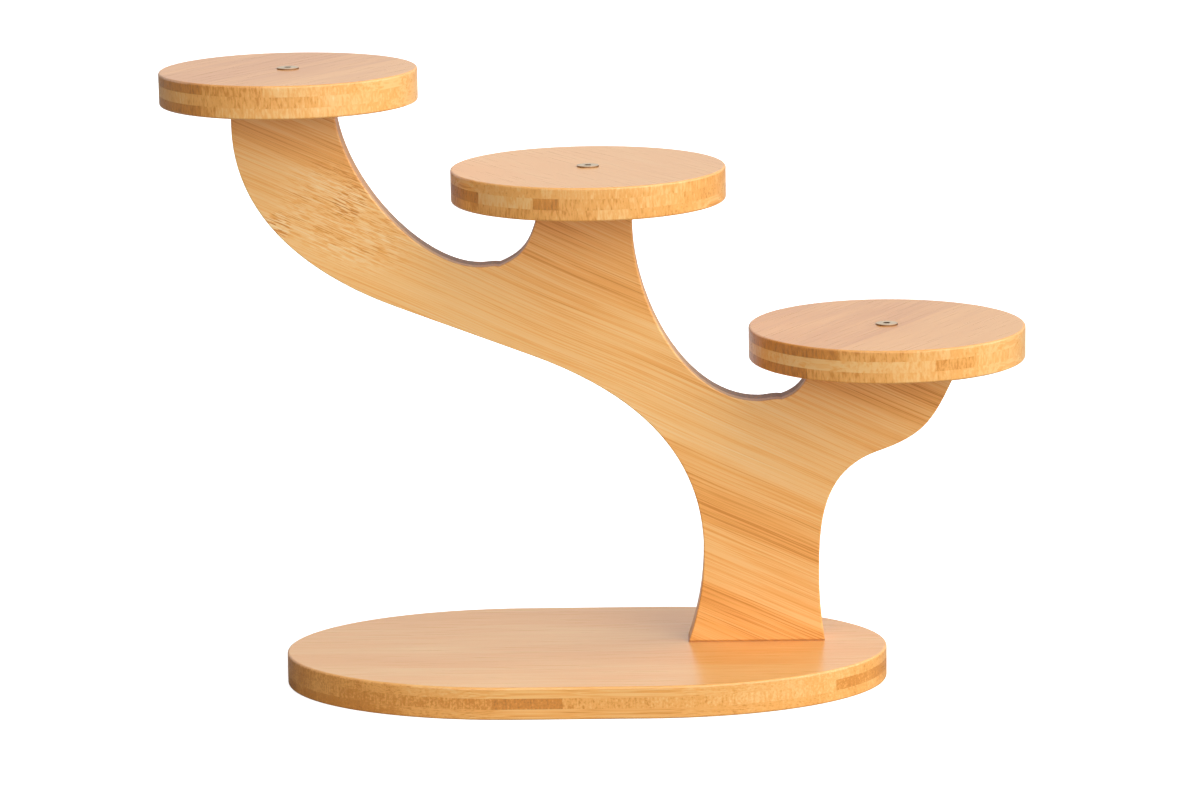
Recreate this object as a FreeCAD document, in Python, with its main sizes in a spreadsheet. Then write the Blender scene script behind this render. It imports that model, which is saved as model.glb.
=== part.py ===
import FreeCAD, Part
import math
import os
import Sketcher

# Tiered shelf riser: a flat oval base, a branching upright sawn from one board, and a round shelf
# on the end of each branch. Every board is bamboo ply, three layers glued face to face.
#
# Frame, in millimetres: origin on the table under the middle of the base, +X along the base towards
# the lowest shelf, +Y to the back, +Z up. The upright stands in a plane of constant Y.

os.makedirs("parts", exist_ok=True)
doc = FreeCAD.newDocument("ShelfRiser")
TIERS = ("upper", "middle", "lower")

# ---- Driving sizes -----------------------------------------------------------------------------

SIZES = {
    "Boards": {
        "face_ply": 4, "core_ply": 4, "shelf_arris": 0.8, "upright_arris": 0.5,
    },
    "Base, an oval with straight sides and half-ellipse ends": {
        "base_length": 221, "base_width": 113.5, "base_straight": 49,
    },
    "Shelves: diameter, place along the base, height of the top face": {
        "upper_diameter": 93.5, "upper_x": -104.8, "upper_height": 226.4,
        "middle_diameter": 100, "middle_x": 3.1, "middle_height": 189.3,
        "lower_diameter": 101, "lower_x": 111.3, "lower_height": 129.6,
        "swivel_gap": 0.1,
    },
    "Upright: its middle plane stands behind the middle of the base": {
        "upright_setback": 9.5,
    },
    "Branch ends, each way from the axis of the shelf that they carry": {
        "upper_seat_left": 20.7, "upper_seat_right": 16.5,
        "middle_seat_left": 17, "middle_seat_right": 16.3,
        "lower_seat_left": 25.5, "lower_seat_right": 27.2,
    },
    "Underside of the long branch: a shoulder, a bend, a straight run": {
        "shoulder_drop": 7.9, "run_start_in": 37.5, "run_start_drop": 75,
        "run_end_back": 21.8, "run_end_drop": 56.4,
    },
    "Stem and foot, from the middle of the base and from the table": {
        "stem_left": 43.6, "stem_left_height": 47, "stem_right": 86, "stem_right_height": 38,
        "foot_left": 37.6, "foot_right": 88,
    },
    "Elbow under the lowest branch, from the axis and seat of its shelf": {
        "elbow_back": 3.3, "elbow_drop": 34,
    },
    "Scoops, from the axis and seat of the shelf to their right": {
        "first_scoop_back": 39.7, "first_scoop_depth": 23.5,
        "first_ridge_back": 34.4, "first_ridge_rise": 0.35, "first_notch_back": 32.7,
        "second_scoop_back": 47, "second_scoop_depth": 14.7,
        "second_ridge_back": 40.4, "second_ridge_rise": 0.65, "second_notch_back": 38.6,
        "notch_dip": 0.12,
    },
    "Screws: countersunk head, hexagon socket": {
        "screw_diameter": 4, "screw_length": 26, "screw_tip": 0.6, "head_diameter": 8,
        "head_rim": 0.55, "head_arris": 0.2, "foot_screw_sink": 0.3,
        "socket_width": 2.5, "socket_depth": 1.6,
        "screw_clearance": 0.05, "cone_clearance": 0.1, "head_clearance": 0.25,
    },
    "Threaded inserts in the end grain of the upright": {
        "insert_diameter": 7, "insert_length": 12, "insert_hole_depth": 16,
        "insert_gap": 0.05, "foot_screw_spacing": 26,
    },
}

sheet = doc.addObject("Spreadsheet::Sheet", "Sizes")
row = 0
for heading, sizes in SIZES.items():
    row += 1
    sheet.set(f"A{row}", heading)
    for alias, size in sizes.items():
        row += 1
        sheet.set(f"A{row}", alias)
        sheet.set(f"B{row}", str(size))
        sheet.setAlias(f"B{row}", alias)
doc.recompute()

# Expressions over the sheet that several pieces share.
BOARD = "(2 * Sizes.face_ply + Sizes.core_ply)"
BORE = "(Sizes.screw_diameter + 2 * Sizes.screw_clearance)"
FOOT_X = "((Sizes.foot_left + Sizes.foot_right) / 2)"
FOOT_SCREWS = [f"({FOOT_X} {sign} Sizes.foot_screw_spacing / 2)" for sign in "-+"]


def seat(tier):
    """Height of a branch end, a running gap below its shelf."""
    return f"(Sizes.{tier}_height - {BOARD} - Sizes.swivel_gap)"


def value(expression):
    """The number that an expression over the sheet gives now."""
    return float(sheet.evalExpression(expression))


# ---- Sketches and features ---------------------------------------------------------------------

pieces = []


def new_body(name, is_piece=True):
    body = doc.addObject("PartDesign::Body", name)
    body.Label = name
    if is_piece:
        pieces.append(body)
    return body


def origin_item(body, role):
    return next(item for item in body.Origin.OriginFeatures if item.Role == role)


def new_sketch(body, role, lift="0"):
    """A sketch on one of the body's own origin planes, lifted along that plane's normal."""
    sketch = body.newObject("Sketcher::SketchObject", f"{body.Name}_sketch")
    sketch.AttachmentSupport = [(origin_item(body, role), "")]
    sketch.MapMode = "FlatFace"
    sketch.setExpression("AttachmentOffset.Base.z", lift)
    return sketch


def place(station):
    x, y = station
    return FreeCAD.Vector(value(x), value(y), 0)


def pin(sketch, edge, end, station):
    """Hold one end of an edge (1 its start, 3 its centre) at a station, a pair of expressions."""
    for kind, expression in zip(("DistanceX", "DistanceY"), station):
        rule = Sketcher.Constraint(kind, -1, 1, edge, end, value(expression))
        number = sketch.addConstraint(rule)
        sketch.setExpression(f"Constraints[{number}]", expression)


def heading(degrees):
    return FreeCAD.Vector(math.cos(math.radians(degrees)), math.sin(math.radians(degrees)), 0)


def bend(start, end, leave, reach_out, arrive, reach_in):
    """A smooth curve that leaves start and arrives at end on the given headings, in degrees.

    Each reach says how far the curve holds its heading, as a share of the straight distance.
    """
    distance = (end - start).Length
    curve = Part.BezierCurve()
    curve.setPoles([start, start + heading(leave) * distance * reach_out,
                    end - heading(arrive) * distance * reach_in, end])
    return curve.toBSpline()


def add_outline(sketch, stations, bends):
    """A closed outline through the stations, straight where no bend is given."""
    names = list(stations)
    edges = []
    for name, following in zip(names, names[1:] + names[:1]):
        start = place(stations[name])
        end = place(stations[following])
        if name in bends:
            edge = bend(start, end, *bends[name])
        else:
            edge = Part.LineSegment(start, end)
        edges.append(sketch.addGeometry(edge))
    for edge, following in zip(edges, edges[1:] + edges[:1]):
        sketch.addConstraint(Sketcher.Constraint("Coincident", edge, 2, following, 1))
    for edge, name in zip(edges, names):
        pin(sketch, edge, 1, stations[name])


def add_circle(sketch, station, diameter):
    ring = Part.Circle(place(station), FreeCAD.Vector(0, 0, 1), value(diameter) / 2)
    edge = sketch.addGeometry(ring)
    number = sketch.addConstraint(Sketcher.Constraint("Diameter", edge, value(diameter)))
    sketch.setExpression(f"Constraints[{number}]", diameter)
    pin(sketch, edge, 3, station)


def add_pad(body, sketch, length):
    pad = body.newObject("PartDesign::Pad", f"{body.Name}_pad")
    pad.Profile = sketch
    pad.setExpression("Length", length)
    body.Tip = pad
    doc.recompute()


def add_pocket(body, sketch, depth, upwards=False):
    """Cut the sketch into the body, and make sure that it takes something away."""
    before = body.Shape.Volume
    pocket = body.newObject("PartDesign::Pocket", f"{body.Name}_pocket")
    pocket.Profile = sketch
    pocket.setExpression("Length", depth)
    pocket.Reversed = upwards
    body.Tip = pocket
    doc.recompute()
    assert body.Shape.Volume < before, f"{pocket.Name} cut nothing"


def dress(body, kind, size_name, size, wanted):
    """Fillet or chamfer the edges of the body's last feature that wanted(edge) picks."""
    last = body.Tip
    names = [f"Edge{number}" for number, edge in enumerate(last.Shape.Edges, 1) if wanted(edge)]
    assert names, f"{body.Name} has no such edge"
    feature = body.newObject(kind, f"{body.Name}_dress")
    feature.Base = (last, names)
    feature.setExpression(size_name, size)
    body.Tip = feature
    doc.recompute()


def round_arris(body, arris, wanted):
    dress(body, "PartDesign::Fillet", "Radius", arris, wanted)


def is_level(edge, height):
    box = edge.BoundBox
    return abs(box.ZMin - height) < 0.001 and abs(box.ZMax - height) < 0.001


def is_ring(edge, diameter):
    """True for a whole circle of this diameter."""
    circle = isinstance(edge.Curve, Part.Circle)
    return circle and abs(edge.Curve.Radius - diameter / 2) < 0.001


def bore(body, stations, bottom, thickness):
    """Clearance holes for screws, right through a ply."""
    sketch = new_sketch(body, "XY_Plane", bottom)
    for station in stations:
        add_circle(sketch, station, BORE)
    add_pocket(body, sketch, thickness, upwards=True)


def sink_rims(body, stations, face, depth):
    """Shallow round recesses that take the rims of screw heads, cut upwards from a lower face."""
    recess = new_sketch(body, "XY_Plane", face)
    for station in stations:
        add_circle(recess, station, "Sizes.head_diameter + 2 * Sizes.head_clearance")
    add_pocket(body, recess, depth, upwards=True)


def countersink(body, level):
    """Cones for the heads of screws, where the bores come out at this level."""
    cone = f"(Sizes.head_diameter - {BORE}) / 2 + Sizes.cone_clearance"
    dress(body, "PartDesign::Chamfer", "Size", cone,
          lambda edge: is_ring(edge, value(BORE)) and is_level(edge, value(level)))


# ---- Base: three oval plies --------------------------------------------------------------------

HALF_LENGTH = "Sizes.base_length / 2"
HALF_STRAIGHT = "Sizes.base_straight / 2"
HALF_WIDTH = "Sizes.base_width / 2"
BASE_STATIONS = {
    "right_end": (HALF_LENGTH, "0"),
    "back_right": (HALF_STRAIGHT, HALF_WIDTH),
    "back_left": (f"-{HALF_STRAIGHT}", HALF_WIDTH),
    "left_end": (f"-{HALF_LENGTH}", "0"),
    "front_left": (f"-{HALF_STRAIGHT}", f"-{HALF_WIDTH}"),
    "front_right": (HALF_STRAIGHT, f"-{HALF_WIDTH}"),
}


def base_bends():
    """Quarter ellipses at the four corners of the oval."""
    hold = 4 / 3 * (math.sqrt(2) - 1)
    along = value(f"{HALF_LENGTH} - {HALF_STRAIGHT}")
    across = value(HALF_WIDTH)
    reach_along = hold * along / math.hypot(along, across)
    reach_across = hold * across / math.hypot(along, across)
    return {
        "right_end": (90, reach_across, 180, reach_along),
        "back_left": (180, reach_along, 270, reach_across),
        "left_end": (270, reach_across, 0, reach_along),
        "front_right": (0, reach_along, 90, reach_across),
    }


def base_ply(layer, bottom, thickness):
    body = new_body(f"base_{layer}_ply")
    sketch = new_sketch(body, "XY_Plane", bottom)
    add_outline(sketch, BASE_STATIONS, base_bends())
    add_pad(body, sketch, thickness)
    stations = [(x, "Sizes.upright_setback") for x in FOOT_SCREWS]
    bore(body, stations, bottom, thickness)
    return body, stations


base_top, _ = base_ply("top", "(Sizes.face_ply + Sizes.core_ply)", "Sizes.face_ply")
round_arris(base_top, "Sizes.shelf_arris",
            lambda edge: is_level(edge, value(BOARD)) and not is_ring(edge, value(BORE)))
base_ply("core", "Sizes.face_ply", "Sizes.core_ply")
base_bottom, foot_stations = base_ply("bottom", "0", "Sizes.face_ply")
HEAD_SEAT = "(Sizes.foot_screw_sink + Sizes.head_rim)"
sink_rims(base_bottom, foot_stations, "0", HEAD_SEAT)
countersink(base_bottom, HEAD_SEAT)
base_bottom_rings = (value(BORE), value("Sizes.head_diameter + 2 * Sizes.head_clearance"))
round_arris(base_bottom, "Sizes.shelf_arris",
            lambda edge: is_level(edge, 0) and not any(is_ring(edge, size)
                                                       for size in base_bottom_rings))

# ---- Upright: three plies sawn to one outline --------------------------------------------------

UPRIGHT_STATIONS = {
    "upper_seat_left": ("Sizes.upper_x - Sizes.upper_seat_left", seat("upper")),
    "shoulder": ("Sizes.upper_x - Sizes.upper_seat_left", f"{seat('upper')} - Sizes.shoulder_drop"),
    "run_start": ("Sizes.upper_x + Sizes.run_start_in", f"{seat('upper')} - Sizes.run_start_drop"),
    "run_end": ("Sizes.middle_x - Sizes.run_end_back", f"{seat('middle')} - Sizes.run_end_drop"),
    "stem_left": ("Sizes.stem_left", "Sizes.stem_left_height"),
    "foot_left": ("Sizes.foot_left", BOARD),
    "foot_right": ("Sizes.foot_right", BOARD),
    "stem_right": ("Sizes.stem_right", "Sizes.stem_right_height"),
    "elbow": ("Sizes.lower_x - Sizes.elbow_back", f"{seat('lower')} - Sizes.elbow_drop"),
    "lower_seat_right": ("Sizes.lower_x + Sizes.lower_seat_right", seat("lower")),
    "lower_seat_left": ("Sizes.lower_x - Sizes.lower_seat_left", seat("lower")),
}


def add_scoop(which, tier):
    """The notch, ridge and bottom of one scoop, left by two cuts of the saw that don't quite meet."""
    bottom = f"({seat(tier)} - Sizes.{which}_scoop_depth)"
    crest = f"({bottom} + Sizes.{which}_ridge_rise)"
    UPRIGHT_STATIONS[f"{which}_notch"] = (
        f"Sizes.{tier}_x - Sizes.{which}_notch_back", f"{crest} - Sizes.notch_dip")
    UPRIGHT_STATIONS[f"{which}_ridge"] = (
        f"Sizes.{tier}_x - Sizes.{which}_ridge_back", crest)
    UPRIGHT_STATIONS[f"{which}_bottom"] = (
        f"Sizes.{tier}_x - Sizes.{which}_scoop_back", bottom)


add_scoop("second", "lower")
UPRIGHT_STATIONS["middle_seat_right"] = ("Sizes.middle_x + Sizes.middle_seat_right", seat("middle"))
UPRIGHT_STATIONS["middle_seat_left"] = ("Sizes.middle_x - Sizes.middle_seat_left", seat("middle"))
add_scoop("first", "middle")
UPRIGHT_STATIONS["upper_seat_right"] = ("Sizes.upper_x + Sizes.upper_seat_right", seat("upper"))

run = place(UPRIGHT_STATIONS["run_end"]) - place(UPRIGHT_STATIONS["run_start"])
RUN_SLOPE = math.degrees(math.atan2(run.y, run.x))
UPRIGHT_BENDS = {
    "shoulder": (-90, 0.39, RUN_SLOPE, 0.36),
    "run_end": (RUN_SLOPE, 0.37, -90, 0.41),
    "stem_left": (-90, 0.33, -109, 0.36),
    "foot_right": (98, 0.42, 90, 0.39),
    "stem_right": (90, 0.41, 19, 0.42),
    "elbow": (19, 0.44, 65, 0.51),
    "lower_seat_left": (236, 0.47, 200, 0.44),
    "second_ridge": (180, 0.35, 180, 0.35),
    "second_bottom": (180, 0.34, 82, 0.35),
    "middle_seat_left": (252, 0.48, 202, 0.44),
    "first_ridge": (180, 0.35, 180, 0.35),
    "first_bottom": (180, 0.28, 91, 0.34),
}


def upright_ply(layer, front, thickness):
    """One layer of the upright; front and thickness are measured along Y."""
    body = new_body(f"upright_{layer}_ply")
    sketch = new_sketch(body, "XZ_Plane", f"-1 * ({front} + {thickness})")
    add_outline(sketch, UPRIGHT_STATIONS, UPRIGHT_BENDS)
    add_pad(body, sketch, thickness)
    hole = "Sizes.insert_diameter + 2 * Sizes.insert_gap"
    for tier in TIERS:
        mouth = new_sketch(body, "XY_Plane", seat(tier))
        add_circle(mouth, (f"Sizes.{tier}_x", "Sizes.upright_setback"), hole)
        add_pocket(body, mouth, "Sizes.insert_hole_depth")
    mouth = new_sketch(body, "XY_Plane", BOARD)
    for station in foot_stations:
        add_circle(mouth, station, hole)
    add_pocket(body, mouth, "Sizes.insert_hole_depth", upwards=True)
    return body


def on_sawn_face(edge, y):
    """True for an edge of the outline on the outer face at y, but not at a seat or the foot."""
    box = edge.BoundBox
    on_face = abs(box.YMin - y) < 0.001 and abs(box.YMax - y) < 0.001
    return on_face and not any(is_level(edge, level) for level in JOINT_LEVELS)


JOINT_LEVELS = [value(BOARD)] + [value(seat(tier)) for tier in TIERS]
FRONT = f"(Sizes.upright_setback - {BOARD} / 2)"
CORE_FRONT = f"({FRONT} + Sizes.face_ply)"
BACK_FRONT = f"({CORE_FRONT} + Sizes.core_ply)"
front_ply = upright_ply("front", FRONT, "Sizes.face_ply")
round_arris(front_ply, "Sizes.upright_arris", lambda edge: on_sawn_face(edge, value(FRONT)))
upright_ply("core", CORE_FRONT, "Sizes.core_ply")
back_ply = upright_ply("back", BACK_FRONT, "Sizes.face_ply")
BACK_FACE = f"{BACK_FRONT} + Sizes.face_ply"
round_arris(back_ply, "Sizes.upright_arris", lambda edge: on_sawn_face(edge, value(BACK_FACE)))

# ---- Shelves: three round plies each, turning on one screw -------------------------------------


def shelf_ply(tier, layer, below_top, thickness):
    """One layer of a shelf, whose lower face is below_top under the top of the shelf."""
    body = new_body(f"{tier}_shelf_{layer}_ply")
    centre = (f"Sizes.{tier}_x", "Sizes.upright_setback")
    bottom = f"(Sizes.{tier}_height - {below_top})"
    sketch = new_sketch(body, "XY_Plane", bottom)
    add_circle(sketch, centre, f"Sizes.{tier}_diameter")
    add_pad(body, sketch, thickness)
    bore(body, [centre], bottom, thickness)
    return body, centre


def round_rim(body, tier, height):
    rim = value(f"Sizes.{tier}_diameter")
    round_arris(body, "Sizes.shelf_arris",
                lambda edge: is_ring(edge, rim) and is_level(edge, value(height)))


for tier in TIERS:
    top_ply, centre = shelf_ply(tier, "top", "Sizes.face_ply", "Sizes.face_ply")
    countersink(top_ply, f"Sizes.{tier}_height")
    round_rim(top_ply, tier, f"Sizes.{tier}_height")
    shelf_ply(tier, "core", "(Sizes.face_ply + Sizes.core_ply)", "Sizes.core_ply")
    bottom_ply, centre = shelf_ply(tier, "bottom", BOARD, "Sizes.face_ply")
    round_rim(bottom_ply, tier, f"Sizes.{tier}_height - {BOARD}")

# ---- Screws and threaded inserts ---------------------------------------------------------------


def turned(body, corners):
    """Turn a profile of (radius, height) stations about the body's own Z axis."""
    sketch = new_sketch(body, "XZ_Plane")
    names = [f"corner_{number}" for number in range(len(corners))]
    add_outline(sketch, dict(zip(names, corners)), {})
    feature = body.newObject("PartDesign::Revolution", f"{body.Name}_turning")
    feature.Profile = sketch
    feature.ReferenceAxis = (origin_item(body, "Z_Axis"), [""])
    body.Tip = feature
    doc.recompute()


def stand(body, station, height, upside_down=False):
    """Place a body that was made with its mouth or head at its own origin, pointing down."""
    if upside_down:
        body.Placement.Rotation = FreeCAD.Rotation(FreeCAD.Vector(1, 0, 0), 180)
    for axis, expression in zip("xyz", (*station, height)):
        body.setExpression(f"Placement.Base.{axis}", expression)
    doc.recompute()


def add_screw(name, station, height, upside_down=False, is_piece=True):
    body = new_body(name, is_piece)
    shank = "Sizes.screw_diameter / 2"
    head = "Sizes.head_diameter / 2"
    cone_end = f"-Sizes.head_rim - ({head} - {shank})"
    turned(body, [
        ("0", "0"), ("0", "-Sizes.screw_length"),
        (f"{shank} - Sizes.screw_tip", "-Sizes.screw_length"),
        (shank, "Sizes.screw_tip - Sizes.screw_length"),
        (shank, cone_end), (head, "-Sizes.head_rim"), (head, "0"),
    ])
    round_arris(body, "Sizes.head_arris",
                lambda edge: is_ring(edge, value("Sizes.head_diameter")) and is_level(edge, 0))
    socket = new_sketch(body, "XY_Plane")
    corner = "(Sizes.socket_width / 2 / cos(30 deg))"
    hexagon = {f"corner_{turn}": (f"{corner} * cos({turn} deg)", f"{corner} * sin({turn} deg)")
               for turn in range(0, 360, 60)}
    add_outline(socket, hexagon, {})
    add_pocket(body, socket, "Sizes.socket_depth")
    stand(body, station, height, upside_down)
    return body


def add_insert(name, station, height, upside_down=False, is_piece=True):
    body = new_body(name, is_piece)
    inner = f"{BORE} / 2"
    outer = "Sizes.insert_diameter / 2"
    turned(body, [(inner, "0"), (inner, "-Sizes.insert_length"),
                  (outer, "-Sizes.insert_length"), (outer, "0")])
    stand(body, station, height, upside_down)
    return body


def add_group(name, members):
    """Identical fasteners that share one node."""
    group = doc.addObject("Part::Compound", name)
    group.Label = name
    group.Links = members
    doc.recompute()
    pieces.append(group)


for tier in TIERS:
    axis = (f"Sizes.{tier}_x", "Sizes.upright_setback")
    add_screw(f"{tier}_shelf_screw", axis, f"Sizes.{tier}_height + Sizes.head_rim")
    add_insert(f"{tier}_insert", axis, seat(tier))

foot_screws = []
foot_inserts = []
for side, station in zip(("left", "right"), foot_stations):
    foot_screws.append(
        add_screw(f"foot_screw_{side}", station, "Sizes.foot_screw_sink", True, False))
    foot_inserts.append(add_insert(f"foot_insert_{side}", station, BOARD, True, False))
add_group("foot_screws", foot_screws)
add_group("foot_inserts", foot_inserts)

# ---- Check everything, then write the pieces ---------------------------------------------------

doc.recompute()
for item in doc.Objects:
    assert "Invalid" not in item.State and "Error" not in item.State, f"{item.Name}: {item.State}"
for piece in pieces:
    assert not piece.Shape.isNull() and piece.Shape.isValid(), f"{piece.Label} has no valid shape"

for piece in pieces:
    piece.Shape.exportStep(f"parts/{piece.Label}.step")
    box = piece.Shape.BoundBox
    print(f"{piece.Label}: {len(piece.Shape.Solids)} solid(s), {piece.Shape.Volume / 1000:.2f} cm3, "
          f"x {box.XMin:.1f}..{box.XMax:.1f} y {box.YMin:.1f}..{box.YMax:.1f} "
          f"z {box.ZMin:.1f}..{box.ZMax:.1f}")
print(f"{len(pieces)} pieces")
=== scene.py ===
import math

import bpy
from mathutils import Matrix, Vector


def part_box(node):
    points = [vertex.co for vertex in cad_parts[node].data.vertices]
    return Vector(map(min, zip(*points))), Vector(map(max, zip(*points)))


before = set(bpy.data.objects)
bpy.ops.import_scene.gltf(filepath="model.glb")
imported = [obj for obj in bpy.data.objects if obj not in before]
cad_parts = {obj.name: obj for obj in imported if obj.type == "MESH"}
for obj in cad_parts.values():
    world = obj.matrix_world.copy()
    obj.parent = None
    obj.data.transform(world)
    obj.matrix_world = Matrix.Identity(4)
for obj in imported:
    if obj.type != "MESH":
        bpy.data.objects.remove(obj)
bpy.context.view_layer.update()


# Camera
# A long lens a metre and a half in front of the riser, a little above the
# upper shelf and leaning a hair to one side, so the shelf tops show as thin ovals.
CAMERA_TURN = math.radians(1.02)
CAMERA_HEIGHT = math.radians(11.89)
CAMERA_LEAN = math.radians(-0.91)
CAMERA_DISTANCE = 1.6092
CAMERA_AIM = Vector((0.00615, 0.0095, 0.1026))
CAMERA_LENS = 131.6
CAMERA_SENSOR = 36
CAMERA_REACH = 100


def toward(turn, height):
    """The direction of what stands this far round to the right and this high, from the riser."""
    return Vector((
        math.sin(turn) * math.cos(height),
        -math.cos(turn) * math.cos(height),
        math.sin(height),
    ))


lens_back = toward(CAMERA_TURN, CAMERA_HEIGHT)
level_right = Vector((math.cos(CAMERA_TURN), math.sin(CAMERA_TURN), 0))
level_up = lens_back.cross(level_right)
lens_right = math.cos(CAMERA_LEAN) * level_right + math.sin(CAMERA_LEAN) * level_up
lens_up = lens_back.cross(lens_right)
camera_data = bpy.data.cameras.new("studio_camera")
camera_data.sensor_width = CAMERA_SENSOR
camera_data.lens = CAMERA_LENS
camera_data.clip_end = CAMERA_REACH
camera = bpy.data.objects.new("studio_camera", camera_data)
bpy.context.scene.collection.objects.link(camera)
camera.rotation_mode = "QUATERNION"
camera.location = CAMERA_AIM + lens_back * CAMERA_DISTANCE
camera.rotation_quaternion = Matrix((lens_right, lens_up, lens_back)).transposed().to_quaternion()
bpy.context.scene.camera = camera


# Floor and studio light
# A seamless white sweep, a broad soft light from the right, a weaker one in front
# and a low fill for the sawn edges, with white walls all round for the lacquer to mirror.
def add_node(tree, kind, *feeds, out=0, **settings):
    """Make a shader node, feed its inputs in order with sockets or values, and return an output."""
    made = tree.nodes.new("ShaderNode" + kind)
    for setting, value in settings.items():
        setattr(made, setting, value)
    for place, feed in enumerate(feeds):
        if isinstance(feed, bpy.types.NodeSocket):
            tree.links.new(feed, made.inputs[place])
        elif feed is not None:
            made.inputs[place].default_value = feed
    return made.outputs[out]


def calc(tree, operation, *feeds, clamp=False):
    return add_node(tree, "Math", *feeds, operation=operation, use_clamp=clamp)


def split(tree, vector):
    """The three parts of a vector socket."""
    parts = tree.nodes.new("ShaderNodeSeparateXYZ")
    tree.links.new(vector, parts.inputs[0])
    return parts.outputs


def colour_ramp(tree, feed, stops, interpolation="LINEAR"):
    """Colour by the value of feed, with stops of (place, colour) in rising order."""
    ramp = tree.nodes.new("ShaderNodeValToRGB")
    tree.links.new(feed, ramp.inputs[0])
    ramp.color_ramp.interpolation = interpolation
    elements = ramp.color_ramp.elements
    elements.remove(elements[1])
    elements[0].position, colour = stops[0]
    elements[0].color = (*colour, 1)
    for place, colour in stops[1:]:
        elements.new(place).color = (*colour, 1)
    return ramp.outputs[0]


def new_material(title):
    made = bpy.data.materials.new(title)
    made.use_nodes = True
    made.node_tree.nodes.clear()
    return made, made.node_tree


def show(tree, shader, kind="Material"):
    """Send a shader to the tree's output."""
    tree.links.new(shader, tree.nodes.new("ShaderNodeOutput" + kind).inputs["Surface"])


def add_sun(title, turn, height, spread, strength):
    data = bpy.data.lights.new(title, "SUN")
    data.angle = math.radians(spread)
    data.energy = strength
    light = bpy.data.objects.new(title, data)
    bpy.context.scene.collection.objects.link(light)
    light.rotation_mode = "QUATERNION"
    came_from = toward(math.radians(turn), math.radians(height))
    light.rotation_quaternion = came_from.to_track_quat("Z", "Y")


add_sun("side_softbox", turn=70, height=30, spread=85, strength=3.15)
add_sun("front_softbox", turn=15, height=27, spread=90, strength=0.62)
add_sun("low_fill", turn=-5, height=0, spread=60, strength=1.3)
bpy.context.scene.view_settings.view_transform = "Standard"

WALL_LIGHT = 0.14
WALL_LOW, WALL_HIGH = 0.07, 0.30
MIRRORED_LOW, MIRRORED_HIGH = 0.56, 1.36
world = bpy.data.worlds.new("white_room")
bpy.context.scene.world = world
world.use_nodes = True
room = world.node_tree
room.nodes.clear()
rays = room.nodes.new("ShaderNodeLightPath").outputs
# The walls brighten upward, so a shelf seen more from above mirrors more light.
wall_side = split(room, room.nodes.new("ShaderNodeTexCoord").outputs["Generated"])
wall_mirrored = add_node(
    room, "MapRange", wall_side["Z"], WALL_LOW, WALL_HIGH, MIRRORED_LOW, MIRRORED_HIGH
)
wall = add_node(
    room, "Mix", rays["Is Glossy Ray"], None, WALL_LIGHT, wall_mirrored, data_type="FLOAT"
)
wall = calc(room, "MAXIMUM", wall, rays["Is Camera Ray"])
show(room, add_node(room, "Background", (1, 1, 1, 1), wall), "World")

FLOOR_SIZE = 60
FLOOR_BOUNCE = 0.38
FLOOR_GLOW = 0.8
FLOOR_MIRRORED, FLOOR_MIRRORED_BEHIND = 0.20, 0.80
BEHIND_START, BEHIND_FULL = 0.0, 0.15
BESIDE_FULL, BESIDE_END = 0.25, 0.45
bpy.ops.object.select_all(action="DESELECT")
bpy.ops.mesh.primitive_plane_add(size=FLOOR_SIZE, location=(0, 0, 0))
floor = bpy.context.object
floor.name = "studio_floor"
floor_paint, tree = new_material("white_sweep")
floor_point = tree.nodes.new("ShaderNodeTexCoord").outputs["Object"]
floor_mottle = add_node(tree, "TexNoise", floor_point, None, 1.7, 2.0)
floor_white = colour_ramp(tree, floor_mottle, ((0, (0.90, 0.90, 0.90)), (1, (0.94, 0.94, 0.94))))
# It mirrors at full white only behind the riser, where the lacquer meets the backdrop.
floor_rays = tree.nodes.new("ShaderNodeLightPath").outputs
floor_place = split(tree, floor_point)
floor_behind = calc(
    tree, "MULTIPLY",
    add_node(tree, "MapRange", floor_place["Y"], BEHIND_START, BEHIND_FULL, 0.0, 1.0),
    add_node(
        tree, "MapRange", calc(tree, "ABSOLUTE", floor_place["X"]), BESIDE_FULL, BESIDE_END, 1.0, 0.0
    ),
)
floor_mirrored = calc(tree, "MULTIPLY_ADD", floor_behind, FLOOR_MIRRORED_BEHIND, FLOOR_MIRRORED)
floor_level = calc(tree, "MULTIPLY", floor_rays["Is Diffuse Ray"], FLOOR_BOUNCE)
floor_level = calc(tree, "MULTIPLY_ADD", floor_rays["Is Glossy Ray"], floor_mirrored, floor_level)
floor_level = calc(tree, "ADD", floor_level, floor_rays["Is Camera Ray"], clamp=True)
floor_surface = tree.nodes.new("ShaderNodeBsdfPrincipled")
floor_surface.inputs["Roughness"].default_value = 0.8
floor_surface.inputs["Emission Color"].default_value = (1, 1, 1, 1)
tree.links.new(
    add_node(tree, "VectorMath", floor_white, None, None, floor_level, operation="SCALE"),
    floor_surface.inputs["Base Color"],
)
tree.links.new(
    calc(tree, "MULTIPLY", floor_rays["Is Camera Ray"], FLOOR_GLOW),
    floor_surface.inputs["Emission Strength"],
)
show(tree, floor_surface.outputs[0])
floor.data.materials.append(floor_paint)


# Base board
# An oval of three-ply bamboo board, the face plies running lengthwise and the
# core crosswise, sanded round and sealed with satin lacquer.
BAMBOO_COLOURS = (
    (0.00, (0.98, 0.70, 0.36)),
    (0.30, (0.95, 0.555, 0.205)),
    (0.50, (0.90, 0.43, 0.112)),
    (0.70, (0.70, 0.275, 0.05)),
    (1.00, (0.47, 0.175, 0.036)),
)
SOOT = (0.27, 0.185, 0.16, 1)


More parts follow.
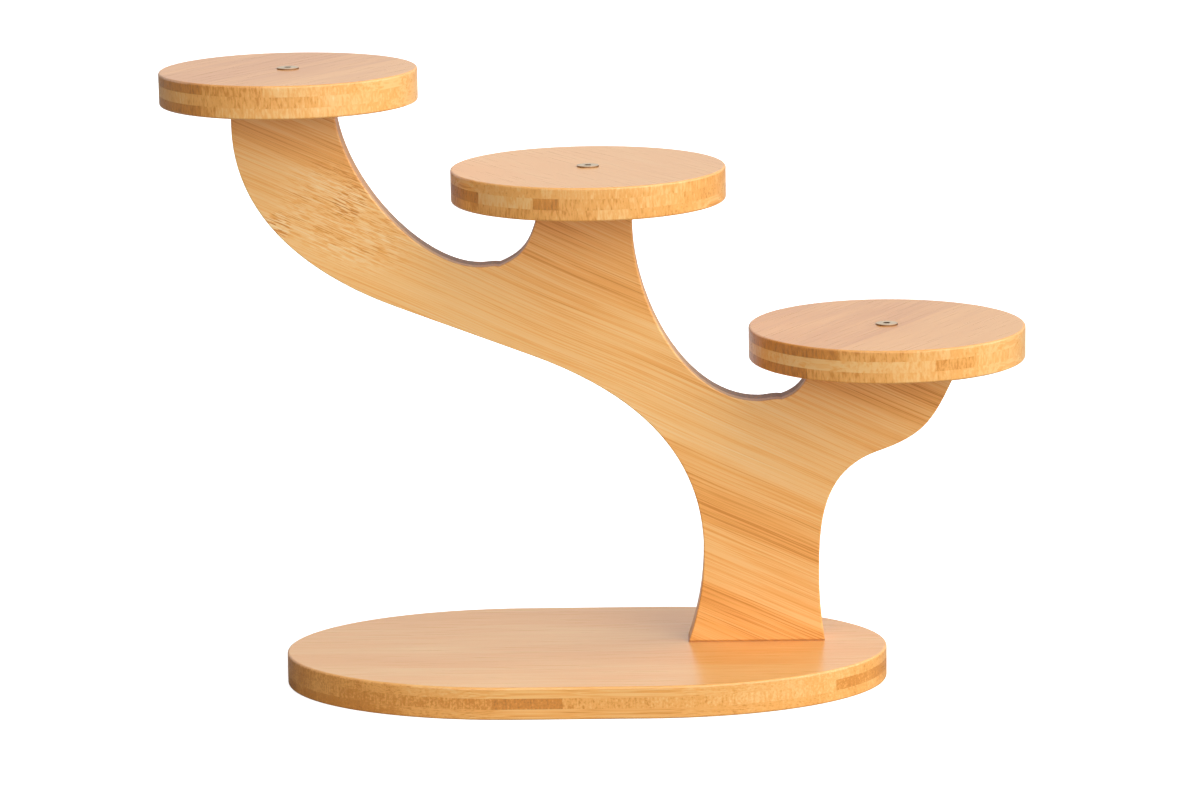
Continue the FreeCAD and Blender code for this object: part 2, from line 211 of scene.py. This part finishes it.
def bamboo_group():
    """Strips of bamboo glued side by side. The point is x along the grain, y across, z deep."""
    group = bpy.data.node_groups.new("bamboo_strips", "ShaderNodeTree")
    for title, kind, start in (
        ("Board Point", "NodeSocketVector", (0, 0, 0)),
        ("Strip Width", "NodeSocketFloat", 0.020),
        ("Strip Shift", "NodeSocketFloat", 0.0),
        ("Tone", "NodeSocketFloat", 0.5),
        ("Dot Stretch", "NodeSocketFloat", 1.0),
        ("Contrast", "NodeSocketFloat", 1.0),
        ("End Grain", "NodeSocketFloat", 0.0),
        ("Knuckle", "NodeSocketFloat", 0.0),
        ("Scorch", "NodeSocketFloat", 0.0),
    ):
        socket = group.interface.new_socket(title, in_out="INPUT", socket_type=kind)
        socket.default_value = start
    for title, kind in (
        ("Colour", "NodeSocketColor"),
        ("Gloss", "NodeSocketFloat"),
        ("Height", "NodeSocketFloat"),
    ):
        group.interface.new_socket(title, in_out="OUTPUT", socket_type=kind)
    given = group.nodes.new("NodeGroupInput").outputs

    # A slow waver keeps the fibres from being ruled lines.
    waver = add_node(group, "TexNoise", given["Board Point"], None, 9.0, 1.0)
    sway = calc(group, "MULTIPLY", calc(group, "SUBTRACT", waver, 0.5), 0.006)
    bent = add_node(
        group, "VectorMath", given["Board Point"], add_node(group, "CombineXYZ", 0.0, sway, 0.0),
        operation="ADD",
    )
    along, across, deep = split(group, bent)
    # Each strip slides along by an amount of its own, so the pattern breaks at its joints.
    placed = calc(group, "ADD", across, given["Strip Shift"])
    strip = calc(group, "FLOOR", calc(group, "DIVIDE", placed, given["Strip Width"]))
    chance = add_node(group, "TexWhiteNoise", None, strip, noise_dimensions="1D")
    slid = add_node(
        group, "CombineXYZ",
        calc(group, "MULTIPLY_ADD", chance, 7.0, along), across,
        calc(group, "MULTIPLY", deep, given["Dot Stretch"]),
    )

    def noise(point, repeats, detail, roughness=0.55):
        """Noise that repeats so many times a metre along, across and through the board."""
        scaled = add_node(group, "VectorMath", point, repeats, operation="MULTIPLY")
        return add_node(group, "TexNoise", scaled, None, 1.0, detail, roughness)

    def band(pattern, low, high):
        """One above high, nothing below low and a soft step between them."""
        return add_node(
            group, "MapRange", pattern, low, high, 0.0, 1.0, interpolation_type="SMOOTHSTEP"
        )

    def blend(start, *shares):
        """Add to start a share of each pattern's distance from its middle."""
        for pattern, middle, share in shares:
            start = calc(
                group, "MULTIPLY_ADD", calc(group, "SUBTRACT", pattern, middle), share, start
            )
        return start

    broad = noise(slid, (18, 90, 90), 1.0)
    coarse = noise(slid, (12, 380, 380), 2.0)
    lines = noise(slid, (18, 1900, 1900), 2.0)
    hairs = noise(slid, (9, 2400, 2400), 1.0)
    fine = noise(slid, (30, 2600, 2600), 2.0)
    dashes = noise(slid, (200, 2400, 2400), 2.0)
    specks = noise(slid, (1100, 1100, 1100), 2.0)
    cells = add_node(group, "VectorMath", slid, (10, 1100, 1100), operation="MULTIPLY")
    bundle = add_node(group, "TexVoronoi", cells, None, 1.0)
    # On a cut across the fibres the blade drags them out into short upright streaks.
    pulled = noise(bent, (1300, 1300, 200), 3.0, roughness=0.65)

    sound = calc(group, "SUBTRACT", 1.0, given["End Grain"])
    fibres = blend(
        0.0, (coarse, 0.5, 0.20), (band(coarse, 0.53, 0.66), 0.15, 0.06),
        (band(lines, 0.50, 0.58), 0.4, 0.14), (band(hairs, 0.54, 0.60), 0.25, 0.12),
        (bundle, 0.5, -0.08),
    )
    cut = blend(0.0, (pulled, 0.5, 0.55), (specks, 0.5, 0.65))
    mixed = blend(0.0, (fine, 0.5, 0.24), (fibres, 0.0, sound), (cut, 0.0, given["End Grain"]))
    mixed = calc(group, "MULTIPLY", mixed, given["Contrast"])
    mixed = blend(mixed, (broad, 0.5, 0.20), (chance, 0.5, 0.04))
    # A knuckle of the cane is a patch of short dark dashes in paler wood.
    dashed = calc(group, "MULTIPLY_ADD", band(dashes, 0.47, 0.56), 0.58, -0.24)
    knuckled = calc(group, "MULTIPLY", dashed, given["Knuckle"])
    darkness = calc(group, "ADD", calc(group, "ADD", mixed, knuckled), given["Tone"], clamp=True)
    wood = colour_ramp(group, darkness, BAMBOO_COLOURS, "EASE")

    # The saw leaves a sooty grey-brown film with pale flecks where the fibres tore.
    soot = group.nodes.new("ShaderNodeMix")
    soot.data_type = "RGBA"
    soot.inputs[7].default_value = SOOT
    torn = calc(group, "MULTIPLY_ADD", band(specks, 0.52, 0.66), -0.6, 1.0)
    group.links.new(calc(group, "MULTIPLY", torn, given["Scorch"]), soot.inputs[0])
    group.links.new(wood, soot.inputs[6])

    gloss = calc(group, "MULTIPLY_ADD", fine, 0.04, 0.26)
    gloss = calc(group, "MULTIPLY_ADD", given["Scorch"], 0.35, gloss)
    height = calc(group, "MULTIPLY_ADD", bundle, 0.5, calc(group, "SUBTRACT", 1.0, fine))
    results = group.nodes.new("NodeGroupOutput").inputs
    group.links.new(soot.outputs[2], results["Colour"])
    group.links.new(gloss, results["Gloss"])
    group.links.new(height, results["Height"])
    return group


BAMBOO_STRIPS = bamboo_group()
# The tones of the strips are told out to this far each side of a board's middle.
TONE_REACH = 0.2
# The dark line along the foot, partly glue and partly painted contact shadow, and how far above the
# base it reaches.
GLUE_SHADE_START, GLUE_SHADE_END, GLUE_SHADE_TONE = 0.0004, 0.0009, 0.45


def strip_tones(tree, across, joints, blur):
    """The tone of the strip at a place across the grain. The joints are blurred in metres."""
    last = joints[0][1]
    stops = [(0.0, (last, last, last))]
    for place, tone in joints[1:]:
        steps = ((place - blur, last), (place + blur, tone)) if blur else ((place, tone),)
        for spot, shade in steps:
            stops.append((spot * 0.5 / TONE_REACH + 0.5, (shade, shade, shade)))
        last = tone
    spread = calc(tree, "MULTIPLY_ADD", across, 0.5 / TONE_REACH, 0.5)
    return colour_ramp(tree, spread, stops, "LINEAR" if blur else "CONSTANT")


def knuckle_patches(tree, point, knuckles):
    """Soft ovals, each given as (along, across, half length, half breadth, weight)."""
    patches = None
    for along, across, length, breadth, weight in knuckles:
        off = add_node(tree, "VectorMath", point, (along, across, 0), operation="SUBTRACT")
        off = add_node(tree, "VectorMath", off, (1 / length, 1 / breadth, 0), operation="MULTIPLY")
        off = add_node(tree, "VectorMath", off, operation="LENGTH", out=1)
        oval = add_node(
            tree, "MapRange", off, 0.5, 1.1, weight, 0.0, interpolation_type="SMOOTHSTEP"
        )
        patches = oval if patches is None else calc(tree, "MAXIMUM", patches, oval)
    return patches


def bamboo(
    title, grain, outward, middle, joints, blur=0.0, width=0.020, shift=0.0, stretch=1.0,
    face_share=0.45, face_contrast=0.7, edge_tone=0.0, tail_tone=0.0,
    scorch=0.0, knuckles=(), glue_height=None,
):
    """The material of a lacquered ply. Grain and outward are directions, middle is its centre.

    joints holds (place across the grain in metres, tone from there on), and blur softens them.
    width and shift set the strips, and stretch draws the dots on an edge out through the board.
    The face keeps face_share of the strips' tones and face_contrast of the fibres' contrast.
    edge_tone darkens the edges, and tail_tone the edge that the grain runs away from.
    scorch soots the sawn edges, and at the glue height, where the foot meets the base, a dark line
    shows that is partly glue and partly painted contact shadow.
    """
    material, tree = new_material(title)
    grain, outward = Vector(grain).normalized(), Vector(outward).normalized()
    turn = Matrix((grain, outward.cross(grain), outward))
    place = tree.nodes.new("ShaderNodeTexCoord").outputs
    mapping = tree.nodes.new("ShaderNodeMapping")
    mapping.inputs["Rotation"].default_value = turn.to_euler("XYZ")
    mapping.inputs["Location"].default_value = -(turn @ Vector(middle))
    tree.links.new(place["Object"], mapping.inputs["Vector"])
    point = mapping.outputs[0]

    def facing(direction):
        """How squarely the surface faces a direction, from 1 to -1."""
        return add_node(
            tree, "VectorMath", place["Normal"], tuple(direction), operation="DOT_PRODUCT", out=1
        )

    edge = add_node(tree, "MapRange", calc(tree, "ABSOLUTE", facing(outward)), 0.35, 0.75, 1.0, 0.0)
    end = calc(tree, "MULTIPLY", calc(tree, "ABSOLUTE", facing(grain)), edge)

    usual = sum(tone for _, tone in joints) / len(joints)
    kept = calc(tree, "MULTIPLY_ADD", edge, 1 - face_share, face_share)
    tone = strip_tones(tree, split(tree, point)["Y"], joints, blur)
    tone = calc(tree, "MULTIPLY_ADD", calc(tree, "SUBTRACT", tone, usual), kept, usual)
    tone = calc(tree, "MULTIPLY_ADD", edge, edge_tone, tone)
    if tail_tone:
        tail = add_node(tree, "MapRange", facing(grain), -0.5, -0.12, tail_tone, 0.0)
        tone = calc(tree, "ADD", tone, tail)
    # A dark line along the foot where it meets the base: partly glue, partly painted contact shadow.
    if glue_height is not None:
        glue = add_node(
            tree, "MapRange", split(tree, place["Object"])["Z"],
            glue_height + GLUE_SHADE_START, glue_height + GLUE_SHADE_END, GLUE_SHADE_TONE, 0.0,
        )
        tone = calc(tree, "ADD", tone, glue)

    strips = tree.nodes.new("ShaderNodeGroup")
    strips.node_tree = BAMBOO_STRIPS
    strips.inputs["Strip Width"].default_value = width
    strips.inputs["Strip Shift"].default_value = shift
    strips.inputs["Dot Stretch"].default_value = stretch
    tree.links.new(point, strips.inputs["Board Point"])
    tree.links.new(tone, strips.inputs["Tone"])
    tree.links.new(end, strips.inputs["End Grain"])
    tree.links.new(
        calc(tree, "MULTIPLY_ADD", edge, 1 - face_contrast, face_contrast),
        strips.inputs["Contrast"],
    )
    if scorch:
        burnt = add_node(tree, "MapRange", facing((0, 0, 1)), 0.15, 0.75, 0.25 * scorch, scorch)
        tree.links.new(calc(tree, "MULTIPLY", edge, burnt), strips.inputs["Scorch"])
    if knuckles:
        tree.links.new(knuckle_patches(tree, point, knuckles), strips.inputs["Knuckle"])

    relief = tree.nodes.new("ShaderNodeBump")
    relief.inputs["Strength"].default_value = 0.12
    relief.inputs["Distance"].default_value = 0.00003
    tree.links.new(strips.outputs["Height"], relief.inputs["Height"])
    surface = tree.nodes.new("ShaderNodeBsdfPrincipled")
    surface.inputs["IOR"].default_value = 1.5
    tree.links.new(strips.outputs["Colour"], surface.inputs["Base Color"])
    tree.links.new(strips.outputs["Gloss"], surface.inputs["Roughness"])
    tree.links.new(relief.outputs[0], surface.inputs["Normal"])
    show(tree, surface.outputs[0])
    return material


def finish_with(material, *names):
    for name in names:
        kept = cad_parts[name].data.materials
        kept.clear()
        kept.append(material)


def centre_of(name):
    low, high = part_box(name)
    return (low + high) / 2


def finish_ply(board, grain, outward, middle, joints, **look):
    finish_with(bamboo(f"{board}_bamboo", grain, outward, middle, joints, **look), f"{board}_ply")


LENGTHWISE, CROSSWISE, UPWARD = (1, 0, 0), (0, 1, 0), (0, 0, 1)
finish_ply(
    "base_top", LENGTHWISE, UPWARD, centre_of("base_top_ply"),
    ((-TONE_REACH, 0.42), (-0.047, 0.40), (-0.0287, 0.50), (-0.009, 0.40),
     (0.011, 0.46), (0.031, 0.50), (0.05, 0.42)),
    shift=0.009, face_contrast=0.32, face_share=0.6, edge_tone=0.04, tail_tone=0.17,
)
finish_ply(
    "base_core", CROSSWISE, UPWARD, centre_of("base_core_ply"),
    ((-TONE_REACH, 0.67), (-0.092, 0.42), (-0.053, 0.49), (-0.026, 0.54),
     (0.0077, 0.74), (0.032, 0.64), (0.088, 0.58), (0.0996, 0.62)),
    width=0.012, shift=0.003,
)
finish_ply(
    "base_bottom", LENGTHWISE, UPWARD, centre_of("base_bottom_ply"),
    ((-TONE_REACH, 0.46), (-0.04, 0.44), (-0.02, 0.50), (0.0, 0.45), (0.02, 0.48), (0.04, 0.43)),
    shift=0.004, edge_tone=0.05, tail_tone=0.22,
)


# Upright
# A branching three-ply board sawn to shape and stood on edge, its face grain
# running downhill to the right. The sawn edges are scorched, most where they face up.
GRAIN_FALL = math.radians(24.5)
FORWARD, BACKWARD = (0, -1, 0), (0, 1, 0)
downhill = (math.cos(GRAIN_FALL), 0, -math.sin(GRAIN_FALL))
uphill = (math.sin(GRAIN_FALL), 0, math.cos(GRAIN_FALL))


def finish_upright_ply(ply, grain, outward, joints, **look):
    board = f"upright_{ply}"
    finish_ply(
        board, grain, outward, (0, centre_of(f"{board}_ply").y, 0), joints,
        face_share=1.0, face_contrast=1.0, glue_height=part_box("base_top_ply")[1].z, **look,
    )


# These tones are partly the strips' own and partly painted light: the foot is darkened against the
# light the base bounces onto it, and the bands up the arms are lightened where the shelves shade
# them.
finish_upright_ply(
    "front", downhill, FORWARD,
    ((-TONE_REACH, 0.55), (0.0505, 0.38), (0.0725, 0.55), (0.084, 0.48), (0.0945, 0.34),
     (0.104, 0.33), (0.110, 0.36), (0.1335, 0.49), (0.152, 0.44)),
    scorch=0.45, blur=0.0007,
    knuckles=(
        (-0.1495, 0.1275, 0.009, 0.0095, 0.85),
        (-0.1702, 0.1089, 0.0065, 0.0065, 0.95),
        (-0.148, 0.122, 0.032, 0.021, 0.5),
    ),
)
finish_upright_ply("core", uphill, FORWARD, ((-TONE_REACH, 0.52),), scorch=0.85)
finish_upright_ply(
    "back", downhill, BACKWARD,
    ((-TONE_REACH, 0.45), (-0.15, 0.5), (-0.131, 0.42), (-0.11, 0.47), (-0.089, 0.38),
     (-0.07, 0.5), (-0.05, 0.44)),
    scorch=0.9, blur=0.0012,
    knuckles=((-0.05, -0.12, 0.009, 0.009, 0.9), (0.07, -0.075, 0.007, 0.008, 0.8)),
)


# Shelves
# Three discs of the same three-ply board, turned round and lacquered. Each has
# its own run of the grain, and strips of different tones show round its rim.
SHELF_PLIES = {
    "upper_shelf_top": (
        58, ((-TONE_REACH, 0.43), (-0.0218, 0.61), (0.0025, 0.80), (0.030, 0.66)),
    ),
    "upper_shelf_core": (82, ((-TONE_REACH, 0.42), (-0.0218, 0.54), (0.0253, 0.49))),
    "upper_shelf_bottom": (75, ((-TONE_REACH, 0.43), (0.0094, 0.62), (0.0161, 0.80))),
    "middle_shelf_top": (
        -60,
        ((-TONE_REACH, 0.54), (-0.0383, 0.46), (-0.012, 0.43), (0.012, 0.50), (0.032, 0.54)),
    ),
    "middle_shelf_core": (
        88,
        ((-TONE_REACH, 0.54), (-0.0368, 0.47), (-0.0179, 0.53), (0.0075, 0.76), (0.0163, 0.38),
         (0.0372, 0.82)),
    ),
    "middle_shelf_bottom": (
        67,
        ((-TONE_REACH, 0.52), (-0.0335, 0.44), (-0.0237, 0.56), (0.0017, 0.57), (0.0227, 0.62)),
    ),
    "lower_shelf_top": (
        60,
        ((-TONE_REACH, 0.46), (-0.0419, 0.38), (-0.0375, 0.47), (-0.031, 0.60), (-0.007, 0.80)),
    ),
    "lower_shelf_core": (-30, ((-TONE_REACH, 0.41), (-0.0344, 0.60), (-0.0205, 0.43))),
    "lower_shelf_bottom": (60, ((-TONE_REACH, 0.45), (-0.026, 0.57), (0.005, 0.82))),
}
for board, (degrees, joints) in SHELF_PLIES.items():
    turned = math.radians(degrees)
    finish_ply(
        board, (math.cos(turned), math.sin(turned), 0), UPWARD, centre_of(f"{board}_ply"), joints,
        stretch=0.3, face_contrast=0.17, face_share=0.3,
    )


# Screws
# Countersunk socket screws with a warm plating gone dull, which hold each shelf
# down and let it turn. Two more come up through the base into the upright.
def worn_metal(title, grit, dull, bright, roughness, roughened, rim=None):
    """A metal mottled between two colours by noise of so much grit, and on its rim another, a
    painted dark reflection and shade.
    """
    material, tree = new_material(title)
    place = tree.nodes.new("ShaderNodeTexCoord").outputs
    scuff = add_node(tree, "TexNoise", place["Object"], None, grit, 3.0)
    colour = colour_ramp(tree, scuff, ((0, dull), (1, bright)))
    if rim:
        # Faces that do not face straight up, the rim and the socket walls, take the rim colour as
        # painted reflection and shade.
        upturned = add_node(
            tree, "VectorMath", place["Normal"], UPWARD, operation="DOT_PRODUCT", out=1
        )
        rim_shade = add_node(tree, "MapRange", calc(tree, "ABSOLUTE", upturned), 0.55, 0.98, 1.0, 0.0)
        tint = tree.nodes.new("ShaderNodeMix")
        tint.data_type = "RGBA"
        tint.inputs[7].default_value = (*rim, 1)
        tree.links.new(rim_shade, tint.inputs[0])
        tree.links.new(colour, tint.inputs[6])
        colour = tint.outputs[2]
    surface = tree.nodes.new("ShaderNodeBsdfPrincipled")
    surface.inputs["Metallic"].default_value = 1.0
    tree.links.new(colour, surface.inputs["Base Color"])
    tree.links.new(
        calc(tree, "MULTIPLY_ADD", scuff, roughened, roughness), surface.inputs["Roughness"]
    )
    show(tree, surface.outputs[0])
    return material


# The plating is warm and dulled; the rim and the socket walls carry a painted dark brown reflection
# and shade.
screw_plate = worn_metal(
    "dull_nickel", grit=900.0, dull=(0.36, 0.26, 0.15), bright=(0.60, 0.45, 0.27),
    roughness=0.18, roughened=0.25, rim=(0.24, 0.14, 0.08),
)
finish_with(
    screw_plate, "upper_shelf_screw", "middle_shelf_screw", "lower_shelf_screw", "foot_screws"
)


# Inserts
# Brass threaded inserts sunk in the upright, which the screws turn into. They
# are out of sight inside the wood.
insert_brass = worn_metal(
    "insert_brass", grit=600.0, dull=(0.42, 0.26, 0.08), bright=(0.70, 0.48, 0.17),
    roughness=0.2, roughened=0.3,
)
finish_with(insert_brass, "upper_insert", "middle_insert", "lower_insert", "foot_inserts")
